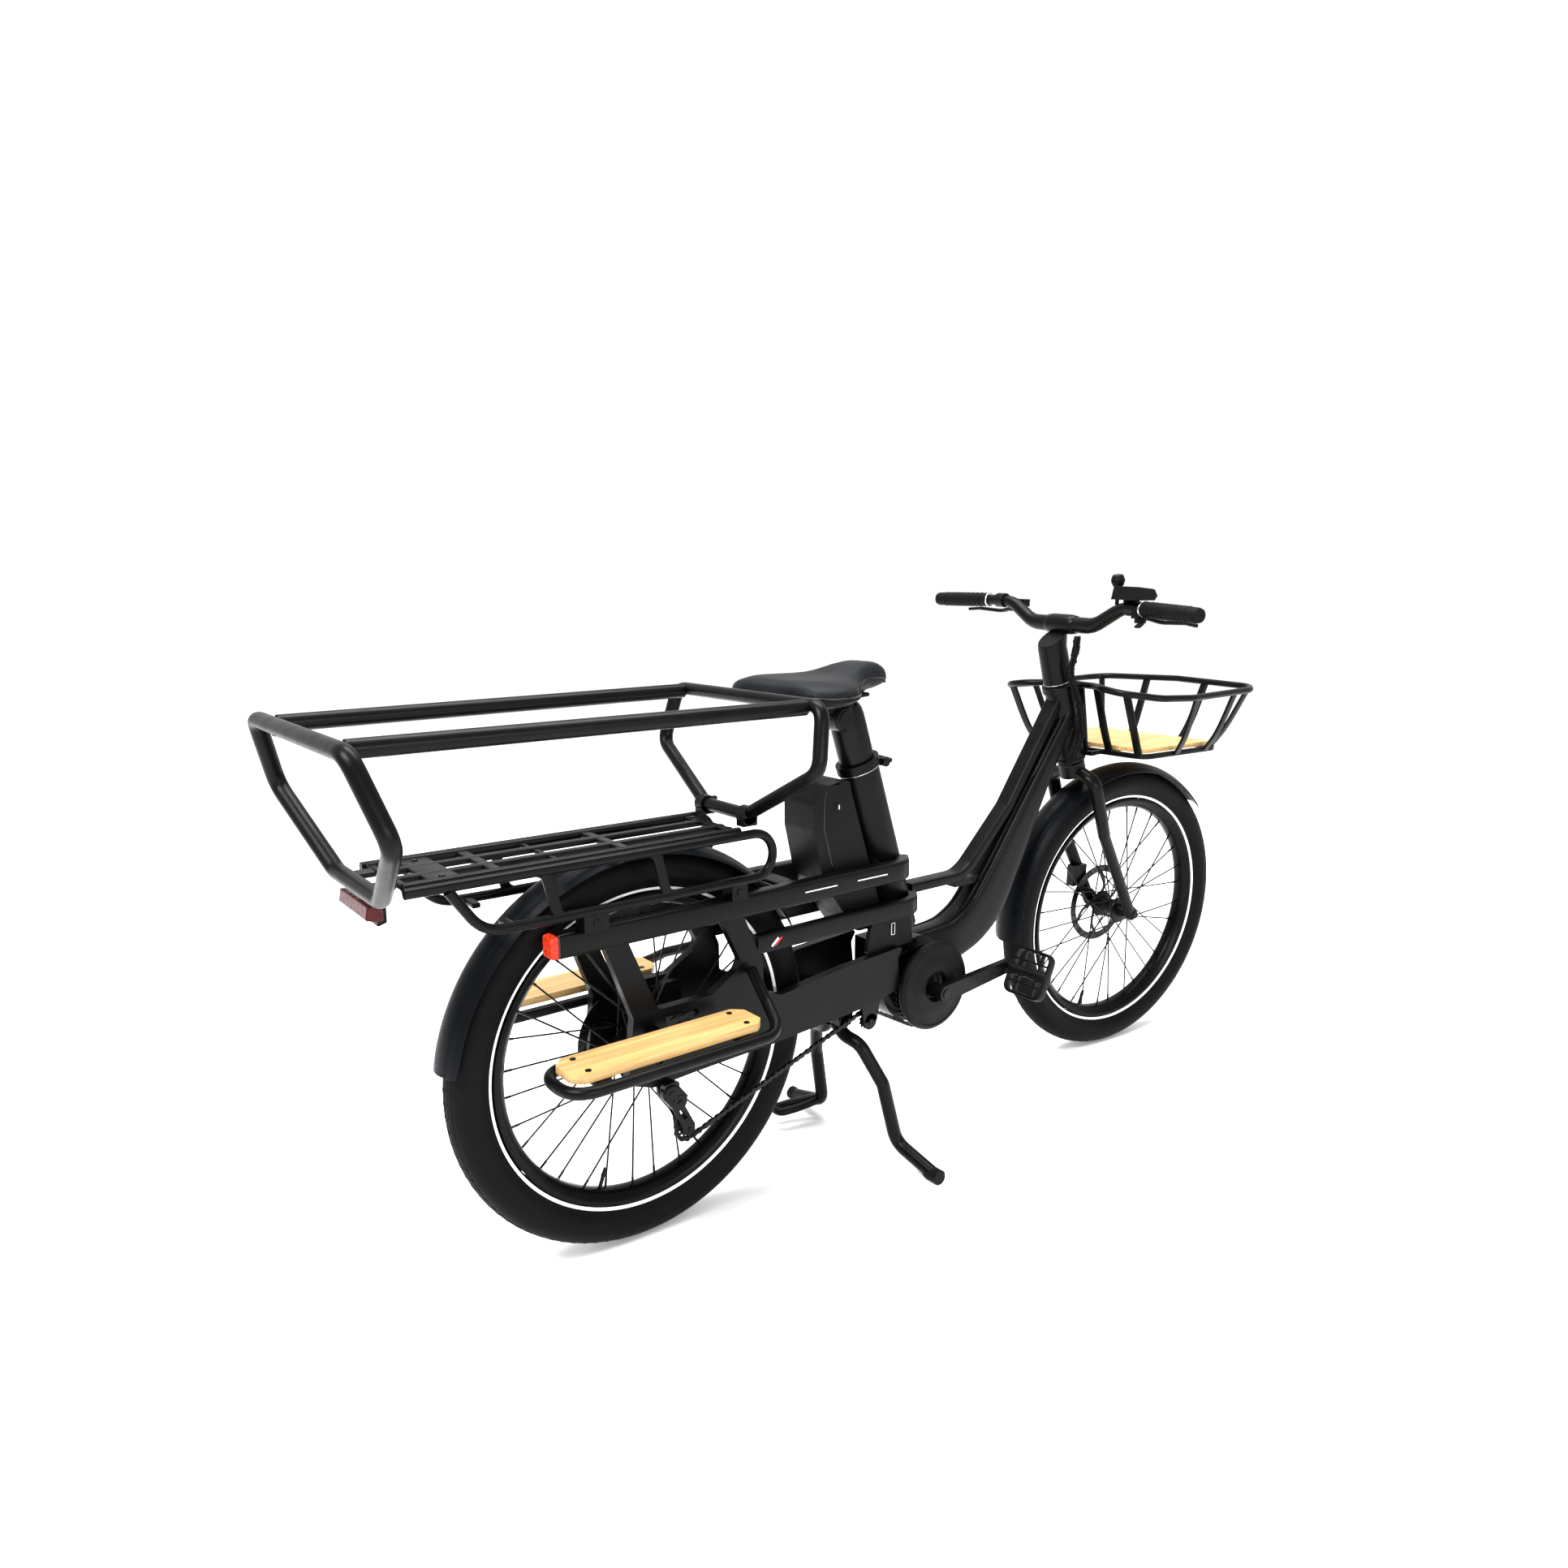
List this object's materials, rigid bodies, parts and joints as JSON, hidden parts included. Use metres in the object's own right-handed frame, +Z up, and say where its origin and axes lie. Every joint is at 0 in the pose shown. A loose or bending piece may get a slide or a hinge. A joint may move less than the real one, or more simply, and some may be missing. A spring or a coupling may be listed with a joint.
{
  "type": "cargo bicycle",
  "caption": "Long-tail cargo bicycle with a rear carrier and passenger guard, side footboards, a front basket, a step-through frame and a centre stand.",
  "frame": {"origin": "on the floor, under the centre of the bounding box", "axes": "+X forward, the way the bicycle rides, +Y to its left, +Z up"},
  "size_m": [2.0752, 0.7154, 1.0798],
  "materials": {
    "frame_paint": "satin black powder coat",
    "fender_paint": "satin blue-black",
    "dark_metal": "black anodised",
    "chain_steel": "oiled dark steel",
    "tyre_rubber": "matte black with a pale stripe",
    "grip_rubber": "matte",
    "black_plastic": "fine texture",
    "saddle_cover": "soft matte charcoal",
    "bamboo": "oiled bamboo planks",
    "red_lens": "clear red lens"
  },
  "bodies": {
    "frame": {"basket_frame": "frame_paint", "chainstay_right": "frame_paint", "derailleur_cage": "dark_metal", "chainstay_left": "frame_paint", "rack_deck": "frame_paint", "footboard_frame_left": "frame_paint", "footboard_frame_right": "frame_paint", "front_hoop": "frame_paint", "seat_tube": "frame_paint", "rear_hoop": "frame_paint", "rack_loop_right": "frame_paint", "rack_loop_left": "frame_paint", "rear_fender": "fender_paint", "chainring_cover": "black_plastic", "head_tube": "frame_paint", "motor_housing": "dark_metal", "side_rails": "frame_paint", "chain": "chain_steel", "upper_bar": "frame_paint", "stand_bracket": "dark_metal", "down_tube": "frame_paint", "derailleur_body": "dark_metal", "guard_rail_right": "frame_paint", "guard_rail_left": "frame_paint", "footboard_left": "bamboo", "footboard_right": "bamboo", "tail_light_right": "red_lens", "tail_light_left": "red_lens", "rack_light": "red_lens", "basket_floor": "bamboo"},
    "steering": {"fork": "frame_paint", "stem": "frame_paint", "handlebar": "frame_paint", "grip_right": "grip_rubber", "grip_left": "grip_rubber", "display": "black_plastic", "bell": "black_plastic", "front_fender": "fender_paint", "control_cables": "grip_rubber"},
    "front_wheel": {"front_tyre": "tyre_rubber", "front_rim": "dark_metal", "front_hub": "dark_metal"},
    "rear_wheel": {"rear_tyre": "tyre_rubber", "rear_rim": "dark_metal", "rear_hub": "dark_metal"},
    "cassette": {"cassette": "chain_steel"},
    "crankset": {"crank_right": "dark_metal", "crank_left": "dark_metal"},
    "right_pedal": {"pedal_right": "black_plastic"},
    "left_pedal": {"pedal_left": "black_plastic"},
    "idler": {"chain_idler": "black_plastic"},
    "right_brake_lever": {"brake_lever_right": "dark_metal"},
    "left_brake_lever": {"brake_lever_left": "dark_metal"},
    "shifter": {"shift_lever": "black_plastic"},
    "seat": {"seat_post": "dark_metal", "saddle": "saddle_cover"},
    "quick_release": {"seat_lever": "dark_metal"},
    "battery": {"battery": "black_plastic"},
    "stand": {"centre_stand": "dark_metal"}
  },
  "joints": [
    {"name": "steering_turn", "type": "hinge", "parent": "frame", "child": "steering", "pos_m": [0.66835, 0, 0.31017], "axis": [-0.309, 0, 0.9511], "range_deg": [-60, 60], "deforming": ["control_cables"]},
    {"name": "front_wheel_spin", "type": "hinge", "parent": "steering", "child": "front_wheel", "pos_m": [0.71376, -0.00489, 0.32492], "axis": [0.0969, 0.9948, 0.0315], "continuous": true},
    {"name": "rear_wheel_spin", "type": "hinge", "parent": "frame", "child": "rear_wheel", "pos_m": [-0.539, 0, 0.325], "axis": [0, 1, 0], "continuous": true},
    {"name": "crank_spin", "type": "hinge", "parent": "frame", "child": "crankset", "pos_m": [0.058, 0, 0.302], "axis": [0, 1, 0], "continuous": true},
    {"name": "cassette_spin", "type": "hinge", "parent": "frame", "child": "cassette", "pos_m": [-0.539, 0, 0.325], "axis": [0, 1, 0], "continuous": true},
    {"name": "idler_spin", "type": "hinge", "parent": "frame", "child": "idler", "pos_m": [-0.089, -0.049, 0.269], "axis": [0, 1, 0], "continuous": true},
    {"name": "right_pedal_spin", "type": "hinge", "parent": "crankset", "child": "right_pedal", "pos_m": [0.23233, -0.16, 0.31725], "axis": [0, 1, 0], "continuous": true},
    {"name": "left_pedal_spin", "type": "hinge", "parent": "crankset", "child": "left_pedal", "pos_m": [-0.11633, 0.16, 0.28675], "axis": [0, 1, 0], "continuous": true},
    {"name": "right_brake_pull", "type": "hinge", "parent": "steering", "child": "right_brake_lever", "pos_m": [0.50817, -0.18699, 0.99421], "axis": [0.0015, 0.0315, -0.9995], "range_deg": [0, 16], "stiffness_Nm_per_rad": 0.6},
    {"name": "left_brake_pull", "type": "hinge", "parent": "steering", "child": "left_brake_lever", "pos_m": [0.54306, 0.17113, 1.00554], "axis": [-0.0015, -0.0315, 0.9995], "range_deg": [0, 16], "stiffness_Nm_per_rad": 0.6},
    {"name": "shift_push", "type": "hinge", "parent": "steering", "child": "shifter", "pos_m": [0.46286, -0.20853, 0.98845], "axis": [-0.0015, -0.0315, 0.9995], "range_deg": [0, 20], "stiffness_Nm_per_rad": 0.2},
    {"name": "seat_height", "type": "slide", "parent": "frame", "child": "seat", "axis": [-0.3128, 0, 0.9498], "range_m": [0, 0.15]},
    {"name": "quick_release_swing", "type": "hinge", "parent": "frame", "child": "quick_release", "pos_m": [-0.025, 0, 0.74], "axis": [0, 1, 0], "range_deg": [0, 35]},
    {"name": "battery_slide", "type": "slide", "parent": "frame", "child": "battery", "axis": [-0.3128, 0, 0.9498], "range_m": [0, 0.08]},
    {"name": "stand_swing", "type": "hinge", "parent": "frame", "child": "stand", "pos_m": [-0.129, 0, 0.27], "axis": [0, 1, 0], "range_deg": [0, 70]}
  ],
  "couplings": [
    {"joint": "cassette_spin", "follows": "crank_spin", "ratio": 2.807},
    {"joint": "idler_spin", "follows": "crank_spin", "ratio": -4}
  ]
}
